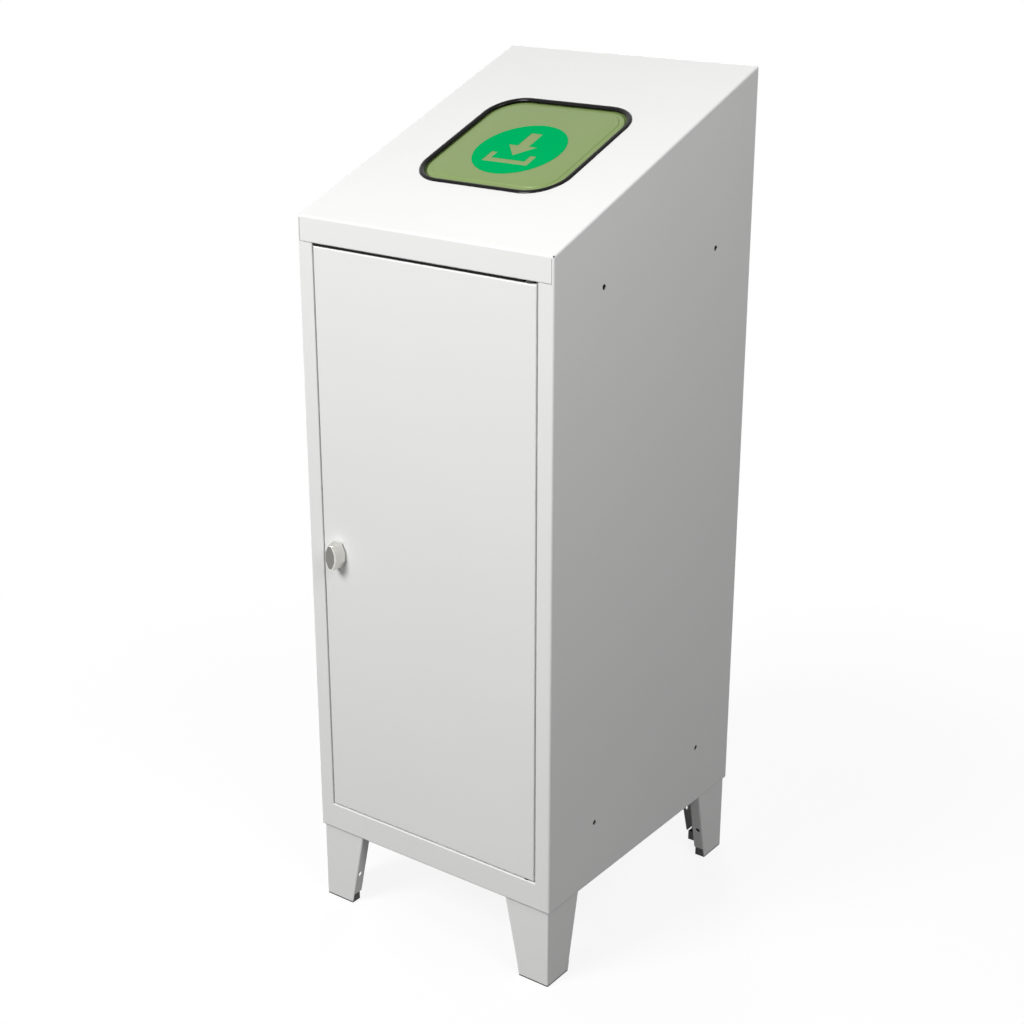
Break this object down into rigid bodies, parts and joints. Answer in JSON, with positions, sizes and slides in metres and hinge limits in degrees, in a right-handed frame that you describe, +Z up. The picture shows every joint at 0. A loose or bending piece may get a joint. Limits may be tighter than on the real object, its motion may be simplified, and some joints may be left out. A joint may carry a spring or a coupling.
{
  "type": "recycling bin",
  "caption": "Tall sheet-steel recycling bin on legs, with a sloping hood, a sprung push flap, a hinged front door with a knob, and a lift-out liner.",
  "frame": {"origin": "on the floor, in the middle of the ground that the bin covers, with its knob and rear rivets included", "axes": "+X to the right of someone who faces the door, +Y from the door to the back, +Z up"},
  "size_m": [0.38, 0.4594, 1.1089],
  "materials": {
    "powder_coat": "light grey-white epoxy-polyester powder coat on steel sheet, satin with a fine orange peel",
    "trim_rubber": "black extruded edge trim, semi-gloss",
    "flap_plastic": "moulded plastic, olive green, fine satin texture",
    "label_film": "printed self-adhesive film, bright green",
    "dark_plastic": "black moulded plastic",
    "lock_metal": "die-cast zinc, satin nickel-plated",
    "zinc_steel": "zinc-plated steel",
    "galvanised": "hot-dip galvanised sheet",
    "nylon": "nylon filled with graphite, dark grey"
  },
  "bodies": {
    "cabinet": {"left_side_panel": "powder_coat", "right_side_panel": "powder_coat", "back_panel": "powder_coat", "floor_pan": "powder_coat", "hood": "powder_coat", "hood_rivets": "powder_coat", "leg_front_left": "powder_coat", "leg_front_right": "powder_coat", "leg_rear_left": "powder_coat", "leg_rear_right": "powder_coat", "glide_front_left": "dark_plastic", "glide_front_right": "dark_plastic", "glide_rear_left": "dark_plastic", "glide_rear_right": "dark_plastic", "leg_bolts": "zinc_steel", "leg_nuts": "zinc_steel", "pivot_bush_upper": "nylon", "pivot_bush_lower": "nylon", "door_buffers": "trim_rubber", "door_seal": "trim_rubber", "flap_trim": "trim_rubber", "flap_bracket_left": "zinc_steel", "flap_bracket_right": "zinc_steel", "flap_rod": "zinc_steel", "rod_clips": "zinc_steel", "liner": "galvanised", "liner_guide_left": "galvanised", "liner_guide_right": "galvanised"},
    "door": {"door_panel": "powder_coat", "door_stiffener": "powder_coat", "pivot_plate_upper": "zinc_steel", "pivot_plate_lower": "zinc_steel", "pivot_pin_upper": "zinc_steel", "pivot_pin_lower": "zinc_steel", "lock_housing": "lock_metal", "lock_nut": "zinc_steel"},
    "lock": {"knob": "lock_metal", "lock_spindle": "zinc_steel", "lock_cam": "zinc_steel", "cam_screw": "zinc_steel"},
    "flap": {"flap_panel": "flap_plastic", "flap_symbol": "label_film", "flap_back_plate": "dark_plastic", "flap_screws": "zinc_steel", "flap_spring_left": "zinc_steel", "flap_spring_right": "zinc_steel"}
  },
  "joints": [
    {"name": "door_hinge", "type": "hinge", "parent": "cabinet", "child": "door", "pos_m": [0.1538, -0.2047, 0.53], "axis": [0, 0, 1], "range_deg": [0, 110]},
    {"name": "knob_turn", "type": "hinge", "parent": "door", "child": "lock", "pos_m": [-0.141, -0.2117, 0.52], "axis": [0, -1, 0], "range_deg": [0, 90]},
    {"name": "flap_hinge", "type": "hinge", "parent": "cabinet", "child": "flap", "pos_m": [0, 0.10718, 1.05276], "axis": [1, 0, 0], "range_deg": [0, 60], "stiffness_Nm_per_rad": 0.3, "springref_deg": -68.75}
  ]
}
